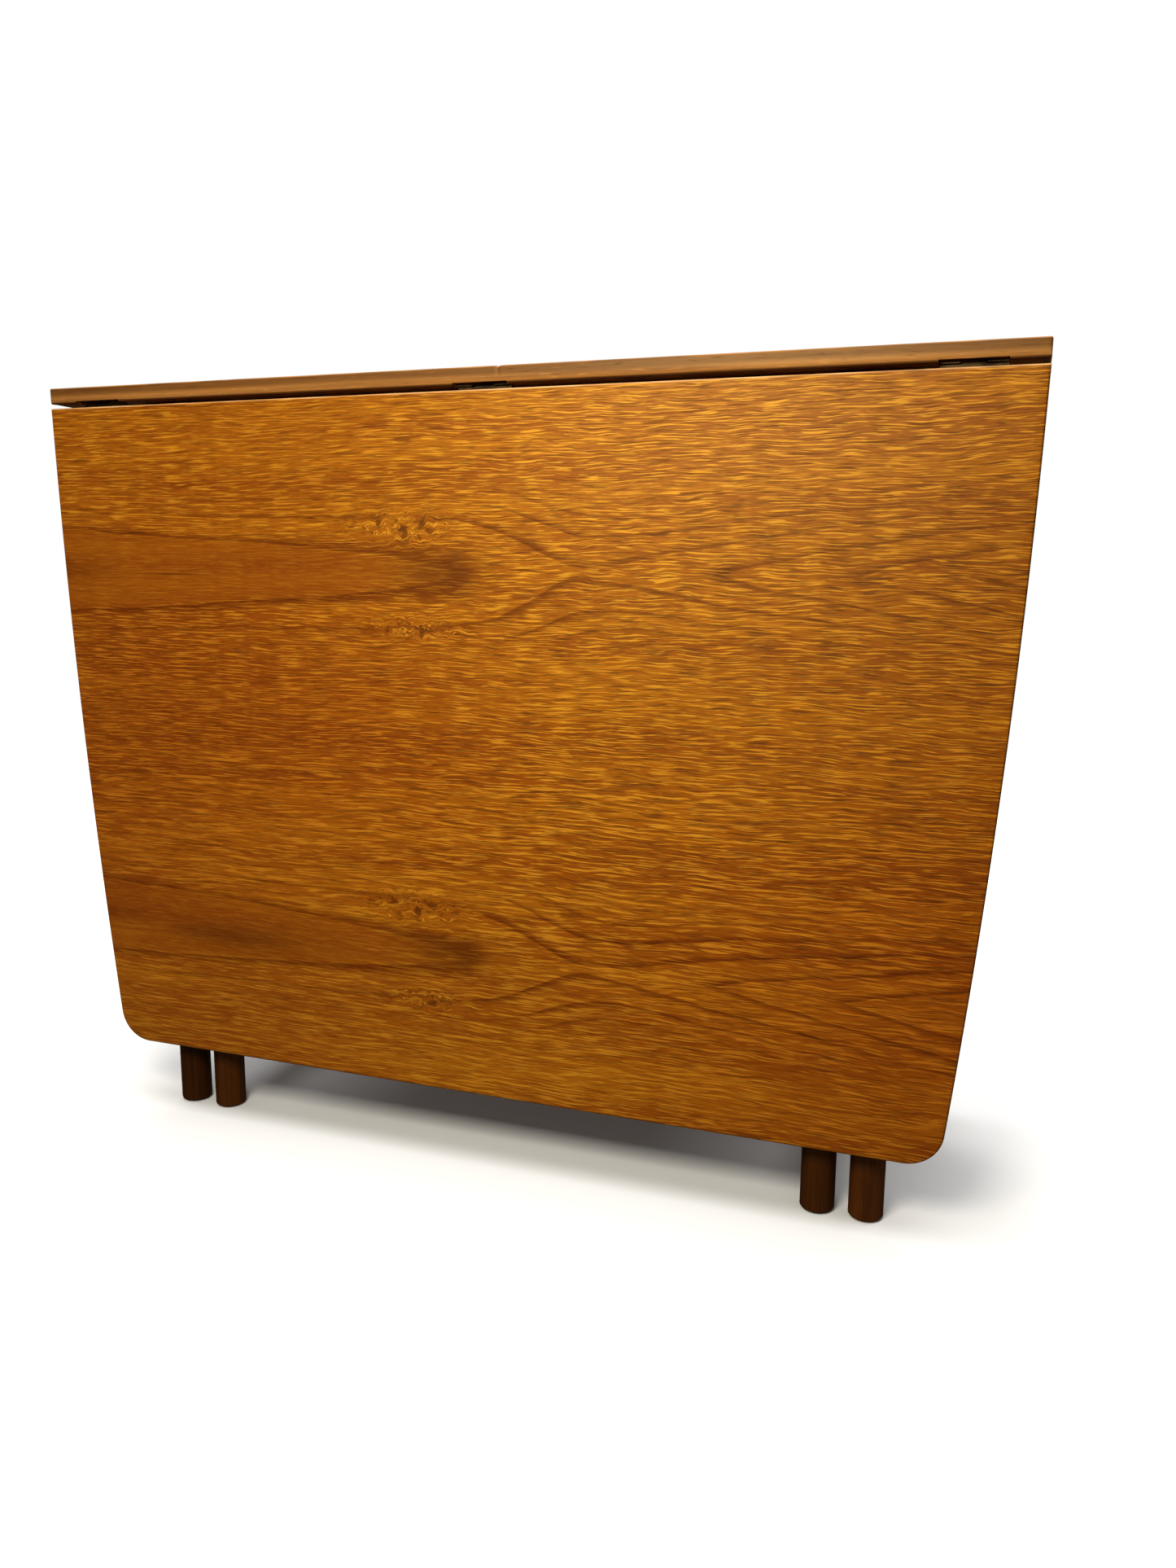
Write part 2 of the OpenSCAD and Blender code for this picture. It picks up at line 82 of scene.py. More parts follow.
camera = bpy.data.objects.new("viewer", bpy.data.cameras.new("viewer"))
camera.data.lens = 27.05
camera.data.sensor_width = 36.0
camera.matrix_world = Matrix.Translation(STANDS_AT) @ looking(HEADING, TILT, ROLL)
bpy.context.scene.collection.objects.link(camera)
bpy.context.scene.camera = camera
print("camera stands at", [round(v, 2) for v in camera.matrix_world.translation])

# %% [markdown]
# ## A pale studio
# The floor and the air around the table are nearly white. A soft lamp stands near the front
# of the table, a little above its top, so the upper middle of the leaf is brightest. A high
# sun lights only what faces up, which keeps the floor pale while the round legs stand in
# shade, and a second lamp behind the table shows its other side. Polished wood looks dull
# when it mirrors a white room, so mirrored rays meet a dim, warm room instead. A panorama of
# a real studio could light all this at once, but single lamps are easier to move one by one.

# %% Floor, lamps and sky
def lamp(name, place, target, size, power, colour):
    """A soft rectangular lamp at a place, turned to face a target point and unseen itself."""
    light = bpy.data.lights.new(name, "AREA")
    light.shape = "RECTANGLE"
    light.size, light.size_y = size
    light.energy = power
    light.color = colour
    made = bpy.data.objects.new(name, light)
    made.location = place
    made.rotation_euler = (Vector(target) - Vector(place)).to_track_quat("-Z", "Y").to_euler()
    made.visible_camera = False
    bpy.context.scene.collection.objects.link(made)


def noon(strength, softness):
    """A sun straight overhead, so that upright faces get none of its light."""
    light = bpy.data.lights.new("noon", "SUN")
    light.energy = strength
    light.angle = softness
    made = bpy.data.objects.new("noon", light)
    made.location = (0, 0, 3)
    bpy.context.scene.collection.objects.link(made)


def pale_floor(half, shade):
    """A flat square floor at height zero, reaching half its width each way."""
    mesh = bpy.data.meshes.new("studio_floor")
    corners = [(-half, -half, 0), (half, -half, 0), (half, half, 0), (-half, half, 0)]
    mesh.from_pydata(corners, [], [(0, 1, 2, 3)])
    made = bpy.data.objects.new("studio_floor", mesh)
    made.visible_glossy = False
    made.visible_diffuse = False
    bpy.context.scene.collection.objects.link(made)
    paint = bpy.data.materials.new("studio paint")
    paint.use_nodes = True
    surface = paint.node_tree.nodes["Principled BSDF"]
    surface.inputs["Base Color"].default_value = (shade, shade, shade, 1)
    surface.inputs["Roughness"].default_value = 1.0
    surface.inputs["Specular IOR Level"].default_value = 0.0
    mesh.materials.append(paint)


def sky(seen, filling, mirrored):
    """A sky with one strength for the eye, one that fills shadows, and one that surfaces mirror."""
    world = bpy.data.worlds.new("studio sky")
    bpy.context.scene.world = world
    world.use_nodes = True
    tree = world.node_tree
    tree.nodes.clear()
    rays = tree.nodes.new("ShaderNodeLightPath")
    out = tree.nodes.new("ShaderNodeOutputWorld")
    glows = []
    filling_colour, mirrored_colour, seen_colour = (1, 0.97, 0.93, 1), (1, 0.66, 0.34, 1), (1, 1, 1, 1)
    for strength, colour in ((filling, filling_colour), (mirrored, mirrored_colour), (seen, seen_colour)):
        glow = tree.nodes.new("ShaderNodeBackground")
        glow.inputs["Strength"].default_value = strength
        glow.inputs["Color"].default_value = colour
        glows.append(glow.outputs[0])
    last = glows[0]
    for ray, glow in (("Is Glossy Ray", glows[1]), ("Is Camera Ray", glows[2])):
        blend = tree.nodes.new("ShaderNodeMixShader")
        tree.links.new(rays.outputs[ray], blend.inputs["Fac"])
        tree.links.new(last, blend.inputs[1])
        tree.links.new(glow, blend.inputs[2])
        last = blend.outputs[0]
    tree.links.new(last, out.inputs["Surface"])


lamp("front lamp", (0.05, -0.98, 0.94), (0.05, -0.14, 0.66), (0.5, 0.35), 12.3, (1.0, 0.94, 0.80))
lamp("rear lamp", (-0.5, 1.9, 1.5), (0.0, 0.14, 0.50), (1.2, 0.8), 26.0, (1.0, 0.96, 0.90))
noon(2.9, math.radians(50))
pale_floor(60.0, 0.88)
sky(1.0, 0.26, 0.04)
bpy.context.scene.view_settings.view_transform = "Standard"

# %% [markdown]
# ## Writing a finish as arithmetic
# A finish is a small tree of sums on the place of each point in the wood. The nodes could be
# laid out by hand in the shader editor. This helper writes them line by line instead, so that
# a finish below reads like the recipe it is, and one number is quickly changed.

# %% Finish writer
class Finish:
    """A material whose nodes are written as sums. Plain numbers and earlier results both work."""

    def __init__(self, name):
        self.material = bpy.data.materials.new(name)
        self.material.use_nodes = True
        self.tree = self.material.node_tree
        self.surface = self.tree.nodes["Principled BSDF"]

    def put(self, socket, value):
        """Feeds a socket with an earlier result, a number or a colour."""
        if hasattr(value, "is_output"):
            self.tree.links.new(value, socket)
        elif isinstance(value, (tuple, list)) and socket.type == "RGBA":
            socket.default_value = (*value, 1.0)
        else:
            socket.default_value = value

    def sum(self, operation, *values):
        """One arithmetic step, such as POWER, FLOOR or MAXIMUM."""
        node = self.tree.nodes.new("ShaderNodeMath")
        node.operation = operation
        for socket, value in zip(node.inputs, values):
            self.put(socket, value)
        return node.outputs[0]

    def plus(self, first, second):
        """The first and the second added up."""
        return self.sum("ADD", first, second)

    def less(self, first, second):
        """The second taken off the first."""
        return self.sum("SUBTRACT", first, second)

    def times(self, first, second):
        """The first multiplied by the second."""
        return self.sum("MULTIPLY", first, second)

    def place(self):
        """The point's own place in the wood, as three numbers in metres."""
        node = self.tree.nodes.new("ShaderNodeTexCoord")
        split = self.tree.nodes.new("ShaderNodeSeparateXYZ")
        self.tree.links.new(node.outputs["Object"], split.inputs[0])
        return split.outputs

    def point(self, x, y, z):
        """Joins three results or numbers into one place."""
        node = self.tree.nodes.new("ShaderNodeCombineXYZ")
        for socket, value in zip(node.inputs, (x, y, z)):
            self.put(socket, value)
        return node.outputs[0]

    def cloud(self, x, y, z, detail=2.0, rough=0.5):
        """Smooth random values from 0 to 1, one blob for each unit of the given coordinates."""
        node = self.tree.nodes.new("ShaderNodeTexNoise")
        self.put(node.inputs["Vector"], self.point(x, y, z))
        node.inputs["Scale"].default_value = 1.0
        node.inputs["Detail"].default_value = detail
        node.inputs["Roughness"].default_value = rough
        return node.outputs["Fac"]

    def step(self, value, low, high):
        """0 below low, 1 above high, and an even S-curve between."""
        node = self.tree.nodes.new("ShaderNodeMapRange")
        node.interpolation_type = "SMOOTHSTEP"
        self.put(node.inputs["Value"], value)
        self.put(node.inputs["From Min"], low)
        self.put(node.inputs["From Max"], high)
        return node.outputs["Result"]

    def bell(self, x, y, middle, width):
        """A soft spot: e to the power of minus the squared distance, over the spot's width each way."""
        across = self.sum("POWER", self.sum("DIVIDE", self.less(x, middle[0]), width[0]), 2.0)
        up = self.sum("POWER", self.sum("DIVIDE", self.less(y, middle[1]), width[1]), 2.0)
        return self.sum("EXPONENT", self.times(self.plus(across, up), -1.0))

    def mix(self, amount, first, second, way="MIX"):
        """Blends the second colour over the first by some amount."""
        node = self.tree.nodes.new("ShaderNodeMix")
        node.data_type = "RGBA"
        node.blend_type = way
        self.put(node.inputs["Factor"], amount)
        self.put(node.inputs[6], first)
        self.put(node.inputs[7], second)
        return node.outputs[2]

    def rub_and_light_edges(self, colour, pale, dark):
        """Lightens the colour where the edge attribute is above 0, unevenly, for worn arrises with a painted
        highlight, and darkens it with painted shade where it is below 0.
        """
        worn = self.tree.nodes.new("ShaderNodeAttribute")
        worn.attribute_name = "wear_and_painted_light"
        # painted shade: the leaves' outer edges darken where the round arris turns away from the light
        painted_edge_shade = self.sum("MAXIMUM", self.times(worn.outputs["Fac"], -0.9), 0.0)
        colour = self.mix(painted_edge_shade, colour, dark)
        place = self.place()
        blobs_per_metre = 24.0
        uneven = self.cloud(*[self.times(place[a], blobs_per_metre) for a in "XYZ"])
        # worn arrises, lightened further as a painted highlight
        rub_and_light = self.sum("MAXIMUM", worn.outputs["Fac"], 0.0)
        amount = self.times(rub_and_light, self.plus(0.5, self.step(uneven, 0.35, 0.7)))
        return self.mix(self.times(amount, 0.6), colour, pale)

    def bump(self, height, depth):
        """Raises the surface by a height from 0 to 1, times a depth in metres."""
        node = self.tree.nodes.new("ShaderNodeBump")
        node.inputs["Distance"].default_value = depth
        node.inputs["Strength"].default_value = 1.0
        self.put(node.inputs["Height"], height)
        self.put(self.surface.inputs["Normal"], node.outputs[0])

    def coat(self, colour, roughness, gloss=0.5):
        """Sets the surface's colour, how rough it is, and the strength of its plain reflection."""
        self.put(self.surface.inputs["Base Color"], colour)
        self.put(self.surface.inputs["Roughness"], roughness)
        self.surface.inputs["Specular IOR Level"].default_value = gloss
        return self.material


print("finish writer ready")

# %% [markdown]
# ## Sheets of veneer
# A leaf is faced with two sheets of veneer sliced one after the other from the same log, laid
# one below the other, so the figure of the upper sheet comes again in the lower one. A scan
# of real veneer would be quicker to use, but it has one size and blurs close up. A rule gives
# fresh detail at any distance, so each point is first placed within its sheet: how far along
# the grain it lies, and how far off the sheet's middle line.

# %% Place in a sheet
SHEET_SLIP = 0.007         # how far along the grain the lower sheet slipped when it was laid


def veneer_place(f, across_axis, middle, sheet, seam, shift_along):
    """Place along the grain, off the sheet's middle line and across the leaf, and the sheet's number."""
    place = f.place()
    across = place[across_axis]
    which = f.sum("FLOOR", f.sum("DIVIDE", f.less(across, seam), sheet))
    off = f.less(f.less(across, middle), f.times(which, sheet))
    along = f.plus(place["X"], shift_along)
    run = f.plus(along, f.times(which, SHEET_SLIP))
    return run, off, across, which


def streaks(f, run, level, rate_along, rate_across, slice_, detail=2.0):
    """Random streaks: rates are how many streaks follow one another in a metre, each way."""
    return f.cloud(f.times(run, rate_along), f.times(level, rate_across), slice_, detail)


print("sheet slip:", SHEET_SLIP)

# %% [markdown]
# ## Where the grain wanders
# No tree is straight. The grain sways slowly along the sheet, ripples more to the right, and
# curls tightly round two small knots. The lines could be drawn as curves one by one. It is
# simpler to shift the place that every later step reads, so that all marks bend together.

# %% Wandering grain
KNOTS = (((-0.078, 0.040), (0.046, 0.014)), ((-0.066, -0.050), (0.040, 0.010)))  # middle, width
SWAY = 0.020               # how far the slow sway moves the grain
CALM_RIPPLE, RIPPLE = 0.0018, 0.0034        # ripple everywhere, and more of it on the open side
KNOT_CURL = 0.020          # how far a knot throws the grain aside


def wandering(f, run, off, slice_, open_side):
    """Distance from the middle line as the grain sees it, where the knots lie, and their curls."""
    knots = f.plus(*[f.bell(run, off, *knot) for knot in KNOTS])
    sway = f.less(streaks(f, run, off, 3.0, 8.0, slice_), 0.5)
    ripple = f.less(streaks(f, run, off, 26.0, 60.0, slice_, 1.0), 0.5)
    curl = f.less(streaks(f, run, off, 115.0, 170.0, slice_, 1.0), 0.5)
    wave = f.times(ripple, f.plus(CALM_RIPPLE, f.times(open_side, RIPPLE)))
    bend = f.plus(f.times(sway, SWAY), wave)
    thrown = f.times(f.times(curl, knots), KNOT_CURL)
    return f.plus(f.plus(off, bend), thrown), knots, curl


print("knots in a sheet:", len(KNOTS))

# %% [markdown]
# ## Arches of year rings
# In each sheet the year rings show as long arches that point at each other along the middle
# line, with nearly straight lines outside them. A cone of rings cut by a plane would give
# them, but three plain terms are easier to fit. A ring's line is where one sum keeps its
# value: the distance along the grain, less a multiple of the squared distance from the middle
# line. On the right a multiple of that distance is taken off too, which turns round tips into
# pointed ones.

# %% Arches
LEFT_ARCH = 526.0          # rings crossed with the square of a metre off the middle, left of the saddle
RIGHT_ARCH = 385.0         # the same to the right of it
RIGHT_POINT = 38.0         # rings crossed with a metre off the middle, which points the right-hand tips
RINGS = 9.2                # rings crossed in a metre along the middle line
HEART_RINGS = 2.1          # the same inside the left-hand arch, where the rings lie far apart
SADDLE = 0.095             # where along the sheet the arches face each other
SADDLE_ROUND = 0.02        # length over which the two slopes blend at the saddle
FIRST_TIP = 0.117          # from the saddle between the arches to the first tip each way
LINE_OFFSET = 0.13         # where in each ring its dark line falls
RINGS_BELOW = 40.0         # whole rings added so that the count stays above zero


def arches(f, run, off, level):
    """How strong the dark ring lines are, and where the plain heart inside the left-hand arch lies."""
    from_saddle = f.less(run, SADDLE)
    reach = f.sum("SQRT", f.plus(f.sum("POWER", from_saddle, 2.0), SADDLE_ROUND ** 2))
    to_left = f.times(from_saddle, -1.0)
    far_left = f.sum("MAXIMUM", f.less(to_left, FIRST_TIP), 0.0)
    slowed = f.times(far_left, RINGS - HEART_RINGS)
    tips = f.less(f.times(reach, RINGS), slowed)
    right = f.step(run, 0.0, 0.16)
    squared = f.plus(LEFT_ARCH, f.times(right, RIGHT_ARCH - LEFT_ARCH))
    round_part = f.times(f.sum("POWER", level, 2.0), squared)
    point_part = f.times(f.sum("ABSOLUTE", level), f.times(right, RIGHT_POINT))
    ring = f.less(tips, f.plus(round_part, point_part))
    phase = f.sum("FRACT", f.plus(ring, RINGS_BELOW - LINE_OFFSET))
    line = f.times(f.step(phase, 0.64, 0.96), f.less(1.0, f.step(phase, 0.96, 1.0)))
    near_middle = f.less(1.0, f.step(f.sum("ABSOLUTE", off), 0.035, 0.075))
    line = f.times(line, f.plus(0.25, f.times(near_middle, 0.75)))
    heart = f.times(f.step(ring, 1.05, 1.2), f.less(1.0, f.step(run, -0.16, 0.0)))
    return line, heart


print("rings from the saddle to the first tip:", round(RINGS * FIRST_TIP, 2))

# %% [markdown]
# ## Dashes of the pores
# Teak has long open pores. Where the knife cuts along them they show as dense short dashes,
# pale and dark, all along the grain. They could be scattered as thousands of tiny strokes.
# Stretched noise does the same at no cost, and two noises of nearly one size, one for pale
# and one for dark, keep the dashes from looking like stripes.

# %% Dashes
DARK_TEAK = (0.255, 0.062, 0.0012)
GOLDEN_TEAK = (0.345, 0.106, 0.0018)
RED_TEAK = (0.180, 0.036, 0.0008)
PALE_DASH = (0.610, 0.262, 0.0140)
DARK_DASH = (0.088, 0.018, 0.0004)


def dashed(f, run, off, across, level, slice_, open_side, heart):
    """The veneer's own colour with its dashes. Also gives the pale and the dark dashes for the relief."""
    tone = streaks(f, run, off, 2.2, 30.0, f.plus(slice_, 3.0), 3.0)
    streak = streaks(f, run, level, 8.0, 360.0, slice_)
    dash = streaks(f, run, level, 33.0, 800.0, slice_)
    nick = streaks(f, run, level, 34.0, 860.0, f.plus(slice_, 7.0))
    fine = streaks(f, run, level, 70.0, 1500.0, slice_, 1.0)
    busy = f.times(f.less(1.0, f.times(heart, 0.75)), f.plus(0.72, f.times(open_side, 0.28)))
    busy = f.times(busy, f.plus(0.62, f.times(f.step(across, 0.14, 0.40), 0.38)))

    colour = f.mix(f.step(tone, 0.36, 0.64), DARK_TEAK, GOLDEN_TEAK)
    colour = f.mix(f.times(f.step(streak, 0.46, 0.70), 0.45), colour, RED_TEAK)
    colour = f.mix(f.times(heart, 0.35), colour, RED_TEAK)
    colour = f.mix(f.times(f.step(dash, 0.52, 0.60), busy), colour, PALE_DASH)
    dark_dashes = f.times(f.step(nick, 0.53, 0.62), f.times(busy, 0.75))
    colour = f.mix(dark_dashes, colour, DARK_DASH)
    colour = f.mix(f.times(f.step(fine, 0.5, 0.8), 0.3), colour, PALE_DASH)
    return colour, dash, nick


print("dash colours ready")

# %% [markdown]
# ## Stains and painted shade
# Each sheet has its own small faults: a dark core at the arch's tip, a stain in the lower
# sheet, a short mineral streak in the upper one. Broad soft patches of painted shade also
# darken the veneer where less light falls on it, browner in some and redder in others, and a
# narrow one lies just below the leaf's upper edge. They could be brushed on by hand with
# vertex paint. Soft spots given by a middle, a width and a strength stay sharp at any mesh
# size and are easy to move.

# %% Stains
# tint of the dark ring lines, and of the browner painted shade
RING_AND_SHADE_TINT = (0.56, 0.44, 0.30)
RED_SHADE_TINT = (0.84, 0.52, 0.34)
BROWN_SHADE_SPOTS = (           # painted shade, browner: middle along and across, width each way, strength
    ((-0.36, 0.42), (0.58, 0.16), 0.42),
    ((0.46, 0.34), (0.22, 0.42), 0.48),
    ((-0.27, 0.69), (0.22, 0.11), 0.30),
    ((0.00, 0.716), (0.60, 0.014), 0.32),
    ((0.40, 0.60), (0.16, 0.12), 0.26),
    ((-0.16, 0.64), (0.16, 0.09), 0.26),
)
RED_SHADE_SPOTS = (             # painted shade, redder, told in the same way
    ((-0.44, 0.38), (0.30, 0.24), 0.60),
    ((0.42, 0.20), (0.28, 0.20), 0.65),
    ((-0.10, 0.40), (0.16, 0.10), 0.30),
)


def faults(f, run, off, which, knots, curl):
    """Strength of the small dark faults: knot eyes, the arch's core, and one mark on each sheet."""
    eye = f.times(knots, f.step(curl, 0.02, 0.14))
    core = f.bell(run, off, (-0.045, 0.0), (0.045, 0.016))
    stain = f.bell(run, off, (-0.28, -0.010), (0.085, 0.013))
    mineral = f.bell(run, off, (-0.33, -0.003), (0.035, 0.0007))
    on_lower = f.times(stain, f.times(which, -1.0))
    on_upper = f.times(mineral, f.plus(which, 1.0))
    shade = f.sum("MAXIMUM", f.times(eye, 0.85), f.times(core, 0.6))
    shade = f.sum("MAXIMUM", shade, f.sum("MAXIMUM", f.times(on_lower, 0.6), on_upper))
    return f.sum("MINIMUM", shade, 1.0)


def painted_shade_patches(f, run, across, colour):
    """The colour with painted shade: the soft patches are added up, and each kind tints the wood its own way.
    """
    for spots, tint in ((BROWN_SHADE_SPOTS, RING_AND_SHADE_TINT), (RED_SHADE_SPOTS, RED_SHADE_TINT)):
        amount = 0.0
        for middle, width, strength in spots:
            amount = f.plus(amount, f.times(f.bell(run, across, middle, width), strength))
        colour = f.mix(f.sum("MINIMUM", amount, 0.65), colour, tint, "MULTIPLY")
    return colour


# these patches are painted shade
print("patches of old polish:", len(BROWN_SHADE_SPOTS) + len(RED_SHADE_SPOTS))

# %% [markdown]
# ## The whole veneer
# The steps above are laid over one another in this order: the wood, its rings, its faults, the
# broad patches of painted shade, and the worn arrises with their painted highlight and the
# painted shade along the outer edge. The pores also dent the surface a little, and the mirror
# of satin polish takes a golden tint from the wood below.

# %% Veneer recipe
# pale colour of worn arrises on the veneer, also a painted highlight
RUB_AND_HIGHLIGHT = (0.80, 0.46, 0.19)
# painted shade along the leaves' outer edges
EDGE_SHADE = (0.030, 0.012, 0.003)
PORE_DEPTH = 0.0001
SHEET = 0.351              # width of a sheet of veneer


def teak_veneer(name, across_axis, middle, seam, shift_along, seed):
    """Satin teak with arches on a middle line. The sheets meet at seam."""
    f = Finish(name)
    run, off, across, which = veneer_place(f, across_axis, middle, SHEET, seam, shift_along)
    slice_ = f.plus(f.times(which, 0.35), seed)
    open_side = f.step(run, -0.20, 0.10)
    level, knots, curl = wandering(f, run, off, slice_, open_side)
    line, heart = arches(f, run, off, level)

    colour, dash, nick = dashed(f, run, off, across, level, slice_, open_side, heart)
    colour = f.mix(line, colour, RING_AND_SHADE_TINT, "MULTIPLY")
    colour = f.mix(faults(f, run, off, which, knots, curl), colour, DARK_DASH)
    colour = f.rub_and_light_edges(painted_shade_patches(f, run, across, colour), RUB_AND_HIGHLIGHT, EDGE_SHADE)

    f.bump(f.less(dash, f.step(nick, 0.5, 0.75)), PORE_DEPTH)
    f.surface.inputs["Specular Tint"].default_value = (1.0, 0.70, 0.28, 1.0)
    return f.coat(colour, f.plus(0.38, f.times(nick, 0.16)), 0.28)


front_veneer = teak_veneer("teak veneer, front leaf", "Z", 0.561, 0.385, 0.0, 0.0)
rear_veneer = teak_veneer("teak veneer, rear leaf", "Z", 0.548, 0.372, -0.12, 4.3)
top_veneer = teak_veneer("teak veneer, centre top", "Y", 0.02, -0.17, 0.09, 8.1)
print("nodes in the veneer:", len(front_veneer.node_tree.nodes))

# %% [markdown]
# ## Solid woods
# The edging, legs and rails are solid wood with the grain along each piece: long thin clouds
# for the fibres, dark dashes for the pores, and a slow change of shade. A wave texture could
# draw the fibres too, but its stripes repeat. One recipe serves every wood, because only the
# stain and the direction of the grain differ. The strips along the centre top also get painted
# light: painted shade near the top, a painted highlight below the middle, and painted shade
# at the foot.

# %% Solid wood recipe
def painted_strip_light(f, height, colour, low, high):
    """Painted light on a moulded strip: painted shade above, a painted highlight below the middle, painted
    shade at its foot.
    """
    down = f.sum("DIVIDE", f.less(high, height), high - low)
    foot = f.step(down, 0.86, 0.97)
    painted_highlight = f.times(f.step(down, 0.36, 0.76), f.less(1.0, foot))
    tint = f.mix(painted_highlight, (0.66, 0.60, 0.54), (1.62, 1.66, 1.80))
    tint = f.mix(foot, tint, (0.30, 0.22, 0.15))
    return f.mix(1.0, colour, tint, "MULTIPLY")


def solid_wood(name, along, dark, mid, pale, roughness, speck=0.3, painted_band=None):
    """Plain sawn wood with its grain along one axis, in three shades from dark to pale."""
    f = Finish(name)
    place = f.place()
    fibres = {axis: (7.0 if axis == along else 260.0) for axis in "XYZ"}
    pores = {axis: (60.0 if axis == along else 900.0) for axis in "XYZ"}
    shades = {axis: (2.0 if axis == along else 22.0) for axis in "XYZ"}

    def grown(rate, detail, extra=0.0):
        spots = [f.times(place[axis], rate[axis]) for axis in "XYZ"]
        spots[0] = f.plus(spots[0], extra)
        return f.cloud(*spots, detail)

    fibre, pore, tone = grown(fibres, 3.0), grown(pores, 1.5, 5.0), grown(shades, 2.0, 9.0)
    pore_brown = tuple(0.35 * c for c in dark)
    light_fleck = tuple(min(1.0, 1.7 * c) for c in pale)
    colour = f.mix(f.step(tone, 0.3, 0.7), mid, pale)
    colour = f.mix(f.times(f.step(fibre, 0.42, 0.7), 0.6), colour, dark)
    colour = f.mix(f.times(f.step(pore, 0.60, 0.78), speck), colour, pore_brown)
    between_pores = f.less(1.0, f.step(pore, 0.2, 0.42))
    colour = f.mix(f.times(between_pores, speck), colour, light_fleck)
    if painted_band:
        # painted shade at the top and foot of the strip, and a painted highlight below its middle
        colour = painted_strip_light(f, place["Z"], colour, *painted_band)
    colour = f.rub_and_light_edges(colour, tuple(min(1.0, 1.8 * c) for c in pale), tuple(0.3 * c for c in dark))
    f.bump(f.less(fibre, f.step(pore, 0.6, 0.8)), PORE_DEPTH)
    f.surface.inputs["Specular Tint"].default_value = (1.0, 0.72, 0.38, 1.0)
    return f.coat(colour, f.plus(roughness, f.times(fibre, 0.12)), 0.32)


EDGING_SHADES = ((0.095, 0.031, 0.005), (0.162, 0.060, 0.010), (0.235, 0.098, 0.021))
LEG_SHADES = ((0.024, 0.0055, 0.0006), (0.044, 0.0110, 0.0012), (0.070, 0.019, 0.002))
RAIL_SHADES = ((0.075, 0.027, 0.008), (0.125, 0.046, 0.014), (0.17, 0.066, 0.020))
BEECH_SHADES = ((0.45, 0.28, 0.14), (0.58, 0.39, 0.22), (0.66, 0.47, 0.28))
strip_low, strip_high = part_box("top_front_edging")
edging_wood = {
    # the strips along X take painted light and shade down their height
    "X": solid_wood("teak edging along X", "X", *EDGING_SHADES, 0.42, 0.45, (strip_low.z, strip_high.z)),
    "Y": solid_wood("teak edging along Y", "Y", *EDGING_SHADES, 0.42, 0.45),
}
leg_wood = solid_wood("dark stained legs", "Z", *LEG_SHADES, 0.36, 0.35)
painted_leg_shading = {}             # painted light and shade: some legs are darker or paler for how the light falls on them
for node, word, depth in (("leg_front_left", "darkest", 0.58), ("front_gate_swing_leg", "darker", 0.84),
                          ("leg_front_right", "lighter", 1.45)):
    shades = [tuple(c * depth for c in shade) for shade in LEG_SHADES]
    painted_leg_shading[node] = solid_wood(f"leg stain, {word}", "Z", *shades, 0.36, 0.35)
rail_wood = {a: solid_wood(f"stained rail along {a}", a, *RAIL_SHADES, 0.48, 0.35) for a in "XYZ"}
beech_wood = solid_wood("bare beech", "X", *BEECH_SHADES, 0.62, 0.2)
# the depths of stain on these legs are painted light and shade
print("stained depths of leg:", [wood.name for wood in painted_leg_shading.values()])

# %% [markdown]
# ## Metals and nylon
# The hinges are brass that has gone brown, darkened further as painted shade so that they sink
# into the shade of the gap, the pivot pins and straps are plated steel, and the glides are dark
# nylon. Each could have a plain colour, but metal this size is never even: blotches of tarnish
# change both its colour and its roughness, and fine brush lines lie along it. One recipe takes
# the clean and the dull colour, and how much of a metal each one is.

# %% Metal and nylon recipe
BLOTCHES = 55.0            # patches of tarnish in a metre
BRUSH_LINES = 240.0        # brush marks in a metre along the brushing
BRUSH_DEPTH = 0.00003


def worn(name, clean, dull, metallic, roughness):
    """A plain material with blotches of tarnish and a fine brushed relief."""
    f = Finish(name)
    place = f.place()
    blotch = f.cloud(*[f.times(place[a], BLOTCHES) for a in "XYZ"], 4.0)
    rates = (BRUSH_LINES, BRUSH_LINES * 6, BRUSH_LINES * 6)
    brush = f.cloud(*[f.times(place[a], rate) for a, rate in zip("XYZ", rates)], 1.0)
    f.surface.inputs["Metallic"].default_value = metallic
    f.bump(brush, BRUSH_DEPTH)
    colour = f.mix(f.step(blotch, 0.42, 0.68), clean, dull)
    return f.coat(colour, f.plus(roughness, f.times(blotch, 0.25)))


# brown brass, darkened further as painted shade for the gap it sits in
brass_darkened_as_shade = worn("old brown brass", (0.085, 0.052, 0.022), (0.030, 0.019, 0.010), 1.0, 0.42)
plated_steel = worn("plated steel", (0.56, 0.56, 0.57), (0.30, 0.29, 0.28), 1.0, 0.30)
dark_nylon = worn("dark nylon", (0.055, 0.048, 0.042), (0.035, 0.03, 0.027), 0.0, 0.55)
print("metals and nylon:", brass_darkened_as_shade.name, plated_steel.name, dark_nylon.name)

# %% [markdown]
# ## Giving each piece its finish
# Each piece of joinery keeps its shape and only takes a finish here. The grain of a rail or
# an edging runs along its longest side, so the axis is read from the piece's own box. On the
# leaves the veneer is laid over the strips as well, so its figure runs out to the edge. The
# finishes could be picked by hand, piece by piece. A rule that reads each piece's slot dresses
# all sixty at once and misses none.

# %% Dress the joinery
def longest_axis(node):
    """The letter of the axis along which a piece is longest."""
    low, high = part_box(node)
    sides = high - low
    return "XYZ"[max(range(3), key=lambda i: sides[i])]


